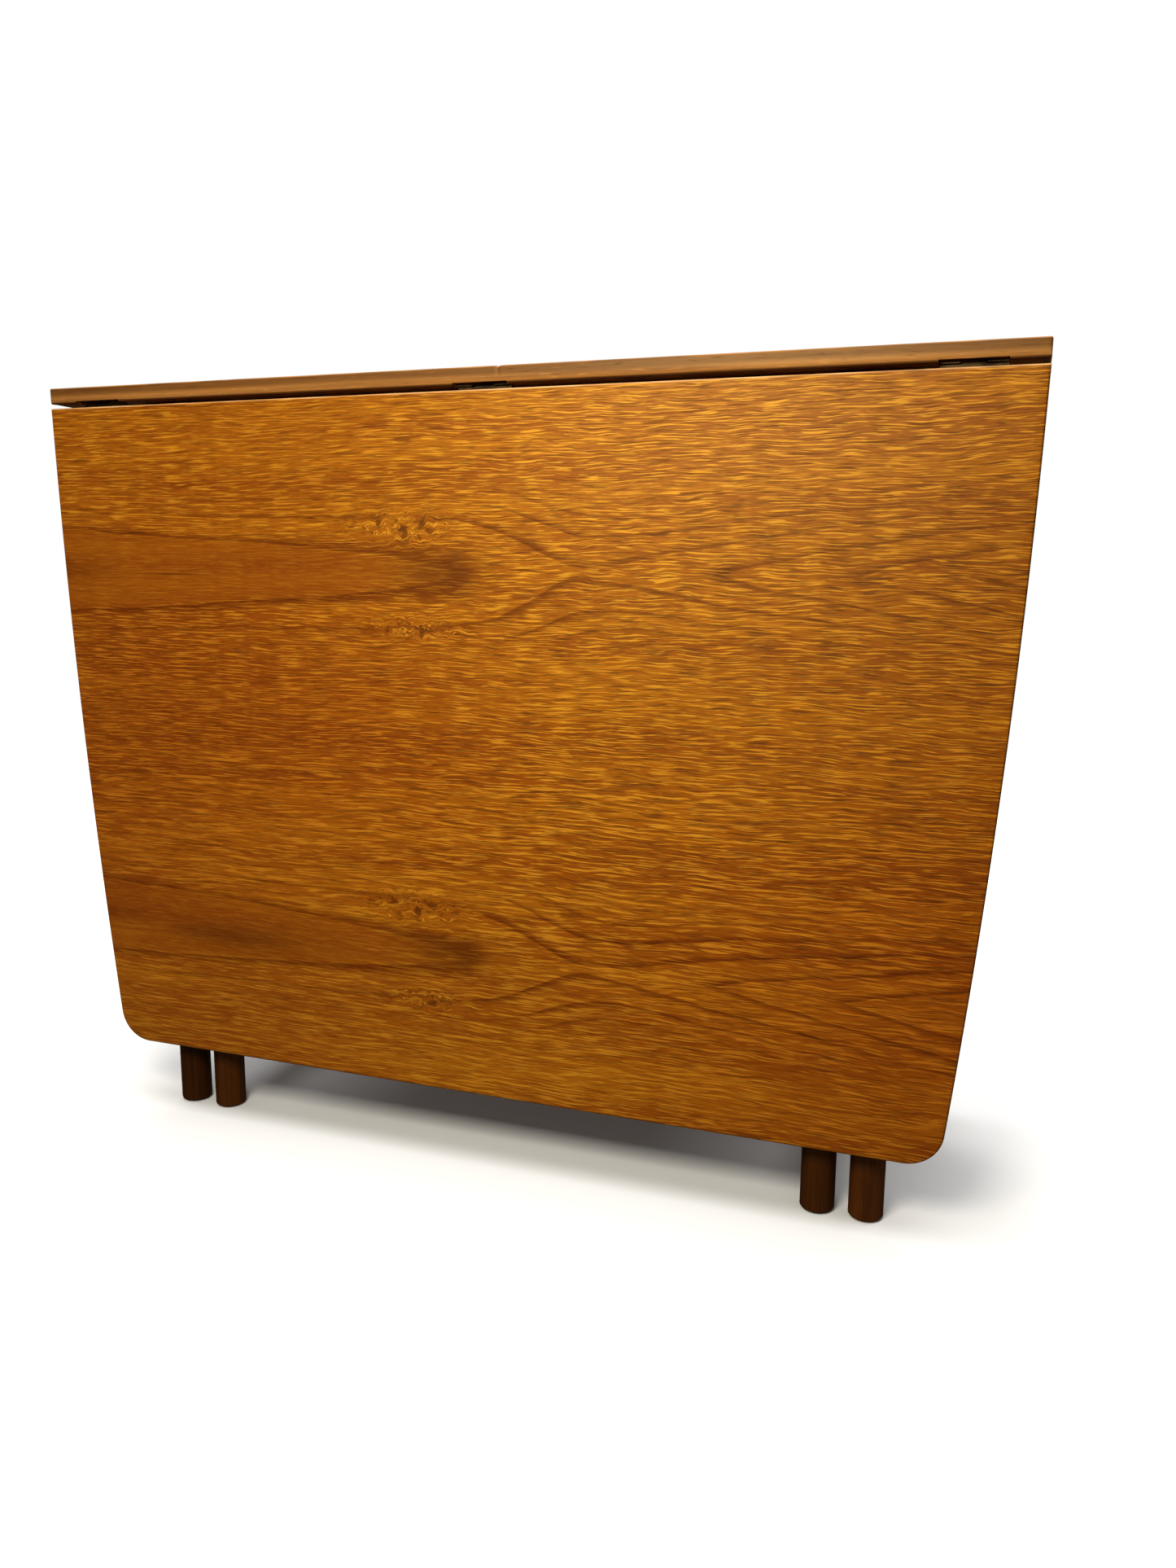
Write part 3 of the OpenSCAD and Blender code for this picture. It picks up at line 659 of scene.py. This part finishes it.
def finish_of(node):
    """The finish of one piece, from its slot in the record and the way it lies."""
    kind = SLOT_OF[node]
    if "leaf" in BODY_OF[node] and kind.startswith("teak"):
        return front_veneer if BODY_OF[node] == "front_leaf" else rear_veneer
    if kind == "teak_veneer":
        return top_veneer
    if kind == "teak_edging":
        return edging_wood[longest_axis(node)]
    if kind == "rail_wood":
        return rail_wood[longest_axis(node)]
    if node in painted_leg_shading:
        return painted_leg_shading[node]
    return PLAIN_FINISHES[kind]


PLAIN_FINISHES = {"leg_wood": leg_wood, "beech": beech_wood, "brass": brass_darkened_as_shade, "steel": plated_steel,
                  "glide_plastic": dark_nylon}
for node, made in frame["nodes"].items():
    made.data.materials.clear()
    made.data.materials.append(finish_of(node))
print("pieces dressed:", len(frame["nodes"]))

# %% [markdown]
# ## Surfaces from formulas
# New pieces are sheets of points worked out in one go. A sheet is a grid: one direction runs
# along the piece and the other runs round its section. The two ends are closed with caps.
# Blender could sweep a section along a curve with its own bevel. A grid worked out by formula
# meets the joinery's sizes exactly, and each point can also carry how worn it is, with its
# painted highlight or painted shade.

# %% Grid to mesh
SAME_POINT = 1e-6          # points nearer than this are one point
SHARP = math.radians(32)   # faces that meet at more than this keep a crisp edge


def closed_tube(name, rings, finish, wear_and_painted_light=None):
    """Makes a solid from rings[i, j]: point j round the section at station i along the piece.

    The edge values given are kept with the mesh: above 0 where a point of the section is worn and takes a
    painted highlight, below 0 where it takes painted shade.
    """
    stations, around = rings.shape[:2]
    i, j = np.meshgrid(np.arange(stations - 1), np.arange(around), indexing="ij")
    k = (j + 1) % around
    quads = np.stack([i * around + j, i * around + k, (i + 1) * around + k, (i + 1) * around + j], -1)
    mesh = bpy.data.meshes.new(name)
    faces = quads.reshape(-1, 4).tolist()
    faces.append(list(range(around))[::-1])
    faces.append([(stations - 1) * around + n for n in range(around)])
    mesh.from_pydata(rings.reshape(-1, 3).tolist(), [], faces)
    if wear_and_painted_light is not None:
        rub_and_light = mesh.attributes.new("wear_and_painted_light", "FLOAT", "POINT")
        rub_and_light.data.foreach_set("value", np.tile(wear_and_painted_light, stations).astype(np.float32))
    shell = bmesh.new()
    shell.from_mesh(mesh)
    bmesh.ops.remove_doubles(shell, verts=shell.verts, dist=SAME_POINT)
    bmesh.ops.dissolve_degenerate(shell, edges=shell.edges, dist=SAME_POINT)
    bmesh.ops.recalc_face_normals(shell, faces=shell.faces)
    for edge in shell.edges:
        edge.smooth = len(edge.link_faces) == 2 and edge.calc_face_angle(0.0) < SHARP
    for face in shell.faces:
        face.smooth = True
    shell.to_mesh(mesh)
    shell.free()
    mesh.materials.append(finish)
    made = bpy.data.objects.new(name, mesh)
    bpy.context.scene.collection.objects.link(made)
    return made


def stand_for(made, node):
    """The new piece hides one piece of joinery and rides with its body."""
    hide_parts(node)
    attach(made, BODY_OF[node])
    return made


print("grid helper ready")

# %% [markdown]
# ## Round legs
# Each leg is turned on a lathe: a straight cylinder with a small rounding at the foot, and
# the two legs on which the gates hinge have a narrower neck low down for their strap. The
# Screw modifier could turn an outline about an axis in the same way. Here the outline is
# carried round by its formula, so that the same grid helper closes and smooths it.

# %% Turn the legs
FOOT_ROUND = 0.002
TURNING_EASE = 0.0006      # the lathe leaves no sharp corner
STRAP = 0.0016             # thickness of the strap round the neck
NECK_PLAY = 0.0003         # room between the neck and its strap
NECK_END_PLAY = 0.001      # room above and below the block
LEG_SIDES = 72


def turned(outline, middle):
    """Carries an outline of (radius, height) points round a vertical axis through middle."""
    angle = np.linspace(0, 2 * np.pi, LEG_SIDES, endpoint=False)
    radius, height = outline[:, 0][:, None], outline[:, 1][:, None]
    x = middle[0] + radius * np.cos(angle)
    y = middle[1] + radius * np.sin(angle)
    return np.stack([x, y, np.broadcast_to(height, x.shape)], -1)


def leg_outline(radius, low, high, neck):
    """Radius and height up the leg: a quarter round at the foot, an eased top, and any neck."""
    t = np.linspace(0, np.pi / 2, 7)
    foot = np.stack([radius - FOOT_ROUND * (1 - np.sin(t)), low + FOOT_ROUND * (1 - np.cos(t))], 1)
    ease = TURNING_EASE
    top = [(radius, high - ease), (radius - ease, high)]
    cut = []
    if neck:
        start, stop, thin = neck
        down = [(radius, start - ease), (radius - ease, start), (thin + ease, start), (thin, start + ease)]
        back = [(thin, stop - ease), (thin + ease, stop), (radius - ease, stop), (radius, stop + ease)]
        cut = down + back
    return np.array(foot.tolist() + cut + top)


def neck_of(node):
    """Where the neck starts and stops, from its bearing block, and its radius, from its strap."""
    block_low, block_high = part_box("gate_bearing_blocks")
    leg_low, leg_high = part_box(node)
    middle_y = (leg_low.y + leg_high.y) / 2
    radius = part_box("gate_neck_straps")[1].y - abs(middle_y) - STRAP - NECK_PLAY
    return block_low.z - NECK_END_PLAY, block_high.z + NECK_END_PLAY, radius


for node in [n for n in frame["nodes"] if SLOT_OF[n] == "leg_wood"]:
    low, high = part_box(node)
    middle = (low + high) / 2
    neck = neck_of(node) if "hinge" in node else None
    outline = leg_outline((high.x - low.x) / 2, low.z, high.z, neck)
    stand_for(closed_tube(node + "_turned", turned(outline, middle), finish_of(node)), node)

# %% [markdown]
# ## The outline of a leaf
# Strips of solid wood close the edges of the boards. They follow the board's outline, which
# is a long bow at each side and a tight round at each corner. The outline could be traced
# point by point. It is really just two circles that touch, so their middles and the place
# where one hands over to the other are worked out once, from the boxes of the joinery.

# %% Outline of a leaf
SIDE_BOW = 7.05            # radius of the long bow of the sides
CORNER_ROUND = 0.033       # radius of a leaf's outer corners
EDGING = 0.006             # width of the strips
ARRIS = 0.0018             # round along a strip's outer corners

top_low, top_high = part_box("top_front_edging")
hinge_low, hinge_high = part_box("front_leaf_hinge_edging")
HALF_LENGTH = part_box("top_right_edging")[1].x
HALF_WIDTH = -top_low.y
TOP_HEIGHT = top_high.z
LEAF_EDGE_Z = hinge_high.z                      # a hanging leaf's upper edge
LEAF_TIP_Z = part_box("front_leaf_outer_edging")[0].z   # a hanging leaf's lowest point
LEAF_FRONT, LEAF_BACK = hinge_low.y, hinge_high.y
LEAF_GAP = 0.0006                               # between a raised leaf and the centre top
LEAF_START = HALF_WIDTH + LEAF_GAP              # its hinge edge from the middle when raised
BOW_MIDDLE = HALF_LENGTH - SIDE_BOW
CORNER_Z = LEAF_TIP_Z + CORNER_ROUND
CORNER_OUT = LEAF_START + LEAF_EDGE_Z - CORNER_Z
CORNER_X = BOW_MIDDLE + math.sqrt((SIDE_BOW - CORNER_ROUND) ** 2 - CORNER_OUT ** 2)


def bow(out):
    """Half length of the table at a distance out from its middle line: the root of the bow's radius
    squared less that distance squared, measured from the bow's own middle."""
    return BOW_MIDDLE + np.sqrt(SIDE_BOW ** 2 - np.asarray(out) ** 2)


print("half length at the hinges:", round(float(bow(LEAF_START)), 4))
print("drop of a leaf:", round(LEAF_EDGE_Z - LEAF_TIP_Z, 4))

# %% [markdown]
# ## The section of a strip
# The maker runs a small round along both outer corners of each strip, so that the corner
# catches a line of light. A bevel modifier could round a square strip, but it tears where the
# bow is cut into many short faces. So the section is drawn once, and then carried along the
# outline. The same points also say where the arrises are worn and take a painted highlight,
# and where the outer edge takes painted shade.

# %% Section of a strip
def strip_section(width, thickness, arris, steps=6):
    """Points (inset, depth) round a strip: square inside, with a quarter round at both outer corners."""
    t = np.linspace(0, np.pi / 2, steps)
    near = np.stack([arris * (1 - np.sin(t)), arris * (1 - np.cos(t))], 1)
    far = np.stack([arris * (1 - np.cos(t)), thickness - arris * (1 - np.sin(t))], 1)
    inside = np.array([[width, thickness], [width, 0.0]])
    return np.vstack([near, far, inside])


def rubbed_and_lit_arrises(section_size, rounds, steps=6):
    """Marks round a section, worn and with a painted highlight: the sine of twice the turn along each quarter
    round, so 1 in its middle.
    """
    wear_and_painted_light = np.zeros(section_size)
    for start in rounds:
        wear_and_painted_light[start:start + steps] = np.sin(2 * np.linspace(0, np.pi / 2, steps))
    return wear_and_painted_light


SECTION = strip_section(EDGING, LEAF_BACK - LEAF_FRONT, ARRIS)
# both arrises worn, with a painted highlight
STRIP_WEAR_AND_HIGHLIGHT = rubbed_and_lit_arrises(len(SECTION), (0, 6))
# painted shade on the outer edge of the leaves' strips
OUTER_EDGE_SHADE = -np.clip(1 - SECTION[:, 0] / ARRIS, 0, 1)   # 0 on the faces, -1 on the outer edge


def carried(centre, radius, angle, section):
    """Carries a section along arcs: each station is its centre plus the radius, less the point's inset,
    in the direction of its angle in the board's plane."""
    reach = radius[:, None] - section[:, 0][None, :]
    x = centre[:, 0][:, None] + reach * np.cos(angle)[:, None]
    z = centre[:, 1][:, None] + reach * np.sin(angle)[:, None]
    y = np.broadcast_to(LEAF_FRONT + section[:, 1][None, :], x.shape)
    return np.stack([x, y, z], -1)


def half_turned(rings):
    """The same piece after half a turn about the upright axis through the table's middle."""
    return rings * np.array([-1.0, -1.0, 1.0])


def mirrored(rings):
    """The same piece at the table's other end."""
    return rings * np.array([-1.0, 1.0, 1.0])


print("points round a strip:", len(SECTION))

# %% [markdown]
# ## Strips round the leaves
# Each leaf has a strip down both bowed sides and one that goes round the corners and along
# the outer edge, bent from a single length. One side strip is worked out, and the others are
# the same points mirrored or turned half round, since the table is alike at both ends. A
# Mirror modifier could do it too, but it would put both sides in one piece, and each strip
# is a piece of its own.

# %% Side and outer strips of the leaves
BOW_Z = LEAF_EDGE_Z + LEAF_START                # height at which a hanging leaf's bow is centred


def side_strip():
    """The right-hand side strip: the long bow, from under the hinge strip to where the corner begins."""
    angle = np.arcsin((np.linspace(LEAF_EDGE_Z - EDGING, CORNER_Z, 40) - BOW_Z) / SIDE_BOW)
    centre = np.tile([BOW_MIDDLE, BOW_Z], (len(angle), 1))
    return carried(centre, np.full(len(angle), SIDE_BOW), angle, SECTION)


def outer_strip():
    """The strip round the leaf's outer edge: a bit of bow, a corner, the straight edge, and back up."""
    bow_start = math.asin((CORNER_Z - BOW_Z) / SIDE_BOW)
    bow_end = math.asin(-CORNER_OUT / (SIDE_BOW - CORNER_ROUND))
    on_bow = [(BOW_MIDDLE, BOW_Z, SIDE_BOW, angle) for angle in np.linspace(bow_start, bow_end, 3)]
    on_corner = [(CORNER_X, CORNER_Z, CORNER_ROUND, angle) for angle in np.linspace(bow_end, -np.pi / 2, 28)]
    right = np.array(on_bow + on_corner)
    left = right[::-1] * np.array([-1, 1, 1, -1]) - np.array([0, 0, 0, np.pi])
    between = np.linspace(CORNER_X, -CORNER_X, 30)[1:-1]
    middle = np.array([(x, CORNER_Z, CORNER_ROUND, -np.pi / 2) for x in between])
    path = np.vstack([right, middle, left])
    return carried(path[:, :2], path[:, 2], path[:, 3], SECTION)


side, outer = side_strip(), outer_strip()
LEAF_STRIPS = {
    "front_leaf_right_edging": side,
    "front_leaf_left_edging": mirrored(side),
    "front_leaf_outer_edging": outer,
    "rear_leaf_left_edging": half_turned(side),
    "rear_leaf_right_edging": mirrored(half_turned(side)),
    "rear_leaf_outer_edging": half_turned(outer),
}
for node, rings in LEAF_STRIPS.items():
    stand_for(closed_tube(node + "_eased", rings, finish_of(node), OUTER_EDGE_SHADE), node)
print("strips round the leaves:", len(LEAF_STRIPS))

# %% [markdown]
# ## Strips along the hinge lines
# The two strips that face each other across the hinges run straight along the table, and
# both are cut away at each hinge. The cuts could be made with Boolean modifiers. They are
# made in the grid instead: at each end of a bed two stations stand in the same place, one
# with the plain section and one with the cut one, which gives a square end. Close to the
# table's ends the faces draw in along a quarter circle.

# %% Stations along a hinge line
pins_low, pins_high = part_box("front_hinge_pins")
HINGE_LENGTH = 0.050
STATION_GAP = 1e-9         # between the two stations at the end of a bed
HINGE_XS = (pins_low.x + HINGE_LENGTH / 2, 0.0, pins_high.x - HINGE_LENGTH / 2)
PIN = Vector((0, (pins_low.y + pins_high.y) / 2, (pins_low.z + pins_high.z) / 2))
PLATE = 0.0014             # thickness of a hinge plate


def stations(half, room, extra=()):
    """Places along the strip, doubled where a hinge bed starts and stops, with which lie in a bed."""
    ends = half - ARRIS * (1 - np.sin(np.linspace(0, np.pi / 2, 5)))
    xs = [*(-ends[::-1]), *np.linspace(-half + 0.004, half - 0.004, 60), *ends, *extra]
    cuts = [h + s * room for h in HINGE_XS for s in (-1, 1)]
    xs = np.unique(np.round([x for x in xs if all(abs(x - c) > 1e-4 for c in cuts)], 7))
    rows = [(x, any(abs(x - h) < room for h in HINGE_XS)) for x in xs]
    for h in HINGE_XS:
        rows += [(h - room, False), (h - room + STATION_GAP, True)]
        rows += [(h + room - STATION_GAP, True), (h + room, False)]
    rows.sort()
    return np.array([r[0] for r in rows]), np.array([r[1] for r in rows])


def end_draw(xs, half):
    """How far the faces draw in near an end: the arris less the root of its square less the rest squared."""
    into = np.clip(ARRIS - (half - np.abs(xs)), 0, ARRIS)
    return ARRIS - np.sqrt(ARRIS ** 2 - into ** 2)


print("hinges at", [round(x, 3) for x in HINGE_XS])

# %% [markdown]
# ## The leaf's strip at the hinges
# The strip along the leaf's hinged edge has shallow beds on its back, each as deep as a hinge
# plate is thick, so that the plates lie flush. Pressing the points of the back down to the
# bed keeps one closed grid, where a Boolean would leave long thin faces.

# %% Leaf hinge strips
def leaf_hinge_strip():
    """A strip's section facing up. At the beds no point lies deeper than the strip less a plate."""
    half = float(bow(LEAF_START))
    xs, bed = stations(half, HINGE_LENGTH / 2)
    depth = np.tile(SECTION[:, 1], (len(xs), 1))
    thickness = LEAF_BACK - LEAF_FRONT
    depth = np.where(bed[:, None], np.minimum(depth, thickness - PLATE), depth)
    draw = end_draw(xs, half)[:, None]
    depth = np.clip(depth, draw, thickness - draw)
    x, z = np.broadcast_arrays(xs[:, None], LEAF_EDGE_Z - SECTION[:, 0][None, :])
    return np.stack([x, LEAF_FRONT + depth, z], -1)


strip = leaf_hinge_strip()
for node, rings in {"front_leaf_hinge_edging": strip, "rear_leaf_hinge_edging": half_turned(strip)}.items():
    stand_for(closed_tube(node + "_eased", rings, finish_of(node), STRIP_WEAR_AND_HIGHLIGHT), node)
print("leaf hinge strips: 2")

# %% [markdown]
# ## The centre top's strip at the hinges
# Along the centre top the strip's lower corner is rounded about the hinge pin, so that the
# leaf can swing up past it, and a slot at each hinge takes the knuckles. Both sections have
# the same number of points, so the grid can pass from one to the other. The front strip also
# has a small old nick in its upper corner: a bell-shaped dent that fades away from the corner.

# %% Centre top hinge strips
TOP_ARRIS = 0.0015
NICK_X, NICK_WIDTH = 0.018, 0.0017          # where the nick is, and how wide its bell
UNDER = top_low.z
ROUND = TOP_HEIGHT - PIN.z                  # radius of the lower round, with its middle at the pin
SLOT = 0.0050                               # radius of the slot for the knuckles
SWING_PLAY = 0.0005                         # room for a leaf's plate to swing past the strip
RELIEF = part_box("front_hinge_top_plates")[0].z + PLATE + SWING_PLAY - PIN.z


def plain_top_section():
    """(out, up) from the pin: flat underside, round about the pin, upright face, eased top, inner face."""
    start = math.asin((UNDER - PIN.z) / ROUND)
    t = np.linspace(start, 0, 12)
    lower = np.stack([ROUND * np.cos(t), ROUND * np.sin(t)], 1)
    u = np.linspace(0, np.pi / 2, 6)
    upper = np.stack([ROUND - TOP_ARRIS * (1 - np.cos(u)), ROUND - TOP_ARRIS * (1 - np.sin(u))], 1)
    inner_x = ROUND - EDGING
    inner = np.stack([np.full(10, inner_x), np.linspace(ROUND, UNDER - PIN.z, 10)], 1)
    return np.vstack([lower, upper, inner])


def slotted_top_section():
    """The same points where the slot is: the underside lifts to the relief and the inner face to the slot."""
    start = math.asin(RELIEF / ROUND)
    t = np.linspace(start, 0, 12)
    lower = np.stack([ROUND * np.cos(t), ROUND * np.sin(t)], 1)
    section = plain_top_section()
    inner_x = ROUND - EDGING
    rise = math.sqrt(SLOT ** 2 - inner_x ** 2)
    s = np.linspace(math.atan2(rise, inner_x), 0, 7)
    arc = np.stack([SLOT * np.cos(s), SLOT * np.sin(s)], 1)
    section[:12] = lower
    section[-10:] = np.vstack([[inner_x, ROUND], [inner_x, (ROUND + rise) / 2], arc, [SLOT, RELIEF]])
    return section


def top_hinge_strip(nick_depth):
    """The centre top's strip along its front, with an old nick in the upper arris if it has a depth."""
    half = float(bow(HALF_WIDTH))
    xs, slot = stations(half, HINGE_LENGTH / 2 + SWING_PLAY, NICK_X + np.linspace(-0.006, 0.006, 17))
    section = np.where(slot[:, None, None], slotted_top_section(), plain_top_section())
    out, up = section[..., 0].copy(), section[..., 1].copy()
    draw = end_draw(xs, half)[:, None]
    out = np.minimum(out, ROUND - draw)
    up = np.minimum(up, ROUND - draw)
    dent = nick_depth * np.exp(-((xs - NICK_X) / NICK_WIDTH) ** 2)[:, None]
    reach = 2 * TOP_ARRIS
    near_arris = np.clip(1 - (ROUND - out) / reach, 0, 1) * np.clip(1 - (ROUND - up) / reach, 0, 1)
    up = up - dent * near_arris
    out = out - 0.6 * dent * near_arris
    return np.stack([np.broadcast_to(xs[:, None], out.shape), PIN.y - out, PIN.z + up], -1)


# the upper arris is worn, with a painted highlight
top_wear_and_highlight = rubbed_and_lit_arrises(len(plain_top_section()), (12,))
for node, rings in {"top_front_edging": top_hinge_strip(0.0013),
                    "top_rear_edging": half_turned(top_hinge_strip(0.0))}.items():
    stand_for(closed_tube(node + "_eased", rings, finish_of(node), top_wear_and_highlight), node)
print("centre top hinge strips: 2")

# %% [markdown]
# ## The ends of the centre top
# A short strip closes each end of the centre top between the two long ones. It follows the
# same bow as the leaves, which is only a millimetre deep here, so it could be left straight.
# It is bowed all the same, because a straight strip would stand proud of its board.

# %% End strips of the centre top
def top_end_strip():
    """The strip across the right-hand end of the centre top, which follows the bow."""
    section = strip_section(EDGING, TOP_HEIGHT - UNDER, TOP_ARRIS)
    out = np.linspace(-HALF_WIDTH + EDGING, HALF_WIDTH - EDGING, 24)
    x = bow(out)[:, None] - section[:, 0][None, :]
    z = np.broadcast_to(TOP_HEIGHT - section[:, 1][None, :], x.shape)
    return np.stack([x, np.broadcast_to(out[:, None], x.shape), z], -1)


end = top_end_strip()
for node, rings in {"top_right_edging": end, "top_left_edging": mirrored(end)}.items():
    stand_for(closed_tube(node + "_eased", rings, finish_of(node), STRIP_WEAR_AND_HIGHLIGHT), node)
print("centre top end strips: 2")

# %% [markdown]
# ## Eased rails
# Rails and blocks are sawn square, then their corners are broken with sandpaper. They could
# be drawn again as boxes, but their dowel holes would be lost. A welded copy of the joinery
# piece keeps its exact shape, and a very small bevel on its sharp edges does the sanding.

# %% Break the edges of the rails
SANDED = 0.0012            # width of a broken edge


def eased_copy(node, width):
    """A welded copy of a piece with its flat faces joined up and its sharp edges bevelled."""
    mesh = frame["nodes"][node].data.copy()
    made = bpy.data.objects.new(node + "_eased", mesh)
    bpy.context.scene.collection.objects.link(made)
    weld = bmesh.new()
    weld.from_mesh(mesh)
    bmesh.ops.remove_doubles(weld, verts=weld.verts, dist=2 * SAME_POINT)
    bmesh.ops.dissolve_limit(weld, angle_limit=math.radians(0.5), verts=weld.verts, edges=weld.edges)
    for edge in weld.edges:
        edge.smooth = edge.calc_face_angle(0.0) < math.radians(30)
    for face in weld.faces:
        face.smooth = True
    weld.to_mesh(mesh)
    weld.free()
    cut = made.modifiers.new("broken edges", "BEVEL")
    cut.width = width
    cut.segments = 2
    cut.limit_method = "ANGLE"
    cut.angle_limit = math.radians(50)
    cut.use_clamp_overlap = True
    return stand_for(made, node)


RAILS = [n for n in frame["nodes"] if SLOT_OF[n] == "rail_wood"]
for node in RAILS:
    eased_copy(node, SANDED)
print("rails and blocks eased:", len(RAILS))
